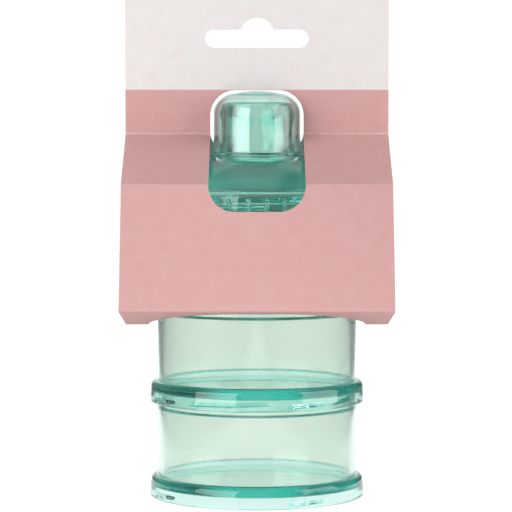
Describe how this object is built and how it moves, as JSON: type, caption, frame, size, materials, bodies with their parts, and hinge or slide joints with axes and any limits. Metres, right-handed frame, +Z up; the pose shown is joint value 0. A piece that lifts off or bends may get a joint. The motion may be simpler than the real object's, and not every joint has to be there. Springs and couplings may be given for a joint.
{
  "type": "formula dispenser",
  "caption": "Stacking baby formula dispenser: clear screw-together powder containers under a domed lid with a capped pouring spout, in a folded card hanging sleeve.",
  "frame": {"origin": "on the tower's axis, at the foot of the lowest container", "axes": "+Z up along the tower, -Y out of the front of the card, +X to the right seen from the front"},
  "size_m": [0.0834, 0.0816, 0.1574],
  "materials": {
    "tinted_clear_plastic": "glossy, see-through, sea-green",
    "pink_card": "matt printed card, pink below a white band"
  },
  "bodies": {
    "container_bottom": {"container_bottom": "tinted_clear_plastic"},
    "container_middle": {"container_middle": "tinted_clear_plastic"},
    "container_top": {"container_top": "tinted_clear_plastic"},
    "lid": {"lid": "tinted_clear_plastic"},
    "cap": {"cap": "tinted_clear_plastic"},
    "card_sleeve": {"card_sleeve": "pink_card"}
  },
  "joints": [
    {"name": "container_middle_lift", "type": "slide", "parent": "container_bottom", "child": "container_middle", "axis": [0, 0, 1], "range_m": [0, 0.05]},
    {"name": "container_top_lift", "type": "slide", "parent": "container_middle", "child": "container_top", "axis": [0, 0, 1], "range_m": [0, 0.05]},
    {"name": "lid_lift", "type": "slide", "parent": "container_top", "child": "lid", "axis": [0, 0, 1], "range_m": [0, 0.05]},
    {"name": "cap_lift", "type": "slide", "parent": "lid", "child": "cap", "axis": [0, 0, 1], "range_m": [0, 0.035]},
    {"name": "card_sleeve_lift", "type": "slide", "parent": "cap", "child": "card_sleeve", "axis": [0, 0, 1], "range_m": [0, 0.08]}
  ]
}
